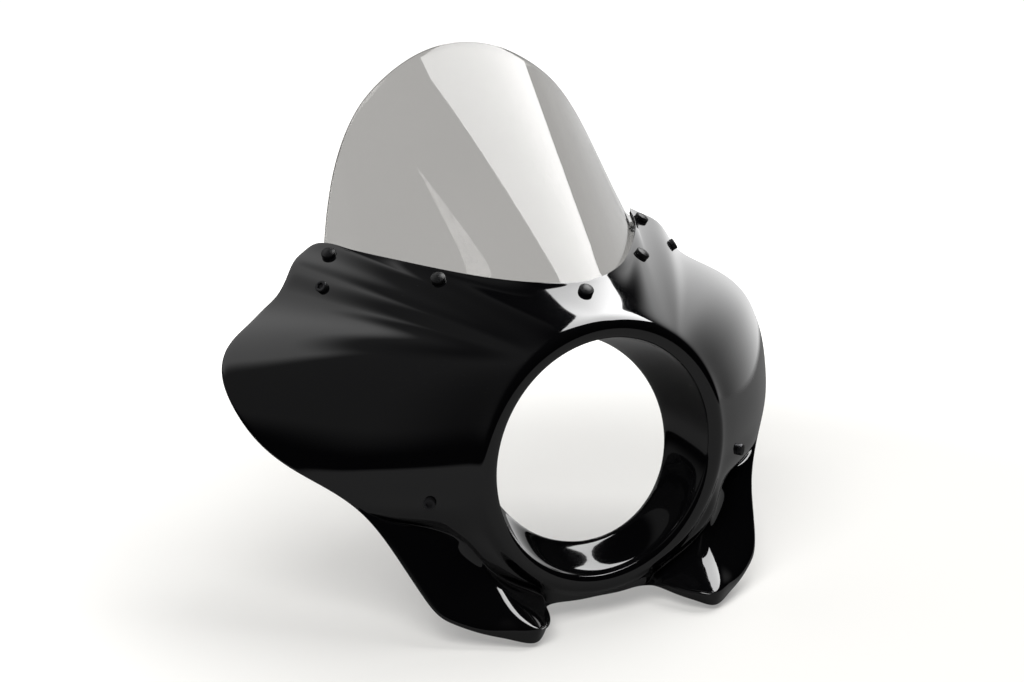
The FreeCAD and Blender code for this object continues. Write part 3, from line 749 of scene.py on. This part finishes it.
total = None
for wall in walls.values():
    glow = None
    for angle, (rise, full, fall, gone) in ((turnAngle, wall["across"]), (riseAngle, wall["up"])):
        for edge in (windowEdge(angle, rise, full, True), windowEdge(angle, fall, gone, False)):
            if glow is None:
                glow = addNode(tree, "ShaderNodeMath", {0: edge.outputs["Result"]}, {1: wall["glow"]},
                               operation="MULTIPLY").outputs["Value"]
            else:
                glow = combined("MULTIPLY", edge.outputs["Result"], glow)
    total = glow if total is None else combined("ADD", total, glow)
plain = addNode(tree, "ShaderNodeBackground", None, {"Color": (1, 1, 1, 1), "Strength": 1.0})
dim = addNode(tree, "ShaderNodeBackground", {"Strength": total}, {"Color": (1, 1, 1, 1)})
mix = addNode(tree, "ShaderNodeMixShader",
              {0: seen.outputs["Value"], 1: dim.outputs["Background"], 2: plain.outputs["Background"]})
tree.links.new(mix.outputs["Shader"], output.inputs["Surface"])


softbox = {
    "corner": (0.06, -0.04, 2.44),
    "acrossTo": (1.90, -1.24, 2.68),
    "lengthTo": (1.44, 2.09, 1.86),
    "radiance": 5.4,
}
fill = {
    "direction": (-0.50, -0.42, 0.76),
    "distance": 1.9,
    "size": 1.2,
    "radiance": 7.0,
}


def areaLight(name, centre, acrossWay, lengthWay, width, length, radiance):
    lamp = bpy.data.lights.new(name, "AREA")
    lamp.shape = "RECTANGLE"
    lamp.size, lamp.size_y, lamp.energy = width, length, radiance * width * length * math.pi
    holder = bpy.data.objects.new(name, lamp)
    bpy.context.scene.collection.objects.link(holder)
    holder.matrix_world = Matrix((acrossWay, lengthWay, acrossWay.cross(lengthWay))).transposed().to_4x4()
    holder.location = centre
    return holder


corner, acrossEnd, lengthEnd = (Vector(softbox[key]) for key in ("corner", "acrossTo", "lengthTo"))
acrossWay = (acrossEnd - corner).normalized()
lengthWay = (lengthEnd - corner) - acrossWay * (lengthEnd - corner).dot(acrossWay)
areaLight("mainSoftbox", (acrossEnd + lengthEnd) * 0.5, acrossWay, lengthWay.normalized(),
          (acrossEnd - corner).length, lengthWay.length, softbox["radiance"])
away = Vector(fill["direction"]).normalized()
acrossWay = Vector((0, 0, 1)).cross(away).normalized()
fillLight = areaLight("floorFill", away * fill["distance"], acrossWay, away.cross(acrossWay),
                      fill["size"], fill["size"], fill["radiance"])
fillLight.visible_glossy = False
print("light made")

cameraData = bpy.data.cameras.new("productCamera")
camera = bpy.data.objects.new("productCamera", cameraData)
bpy.context.scene.collection.objects.link(camera)
view = {
    "place": (-0.9164, -1.506, 0.560),
    "sight": (0.4667, 0.8473, -0.2536),
    "right": (0.8759, -0.4825, 0),
    "up": (0.1224, 0.2221, 0.9673),
    "focal": 2270,
    "width": 1024,
    "sensor": 36,
}
cameraData.lens = view["focal"] / view["width"] * view["sensor"]
cameraData.sensor_width = view["sensor"]
turned = Matrix((Vector(view["right"]), Vector(view["up"]), -Vector(view["sight"]))).transposed().to_4x4()
turned.translation = Vector(view["place"])
camera.matrix_world = turned
bpy.context.scene.camera = camera
bpy.context.scene.view_settings.view_transform = "Standard"
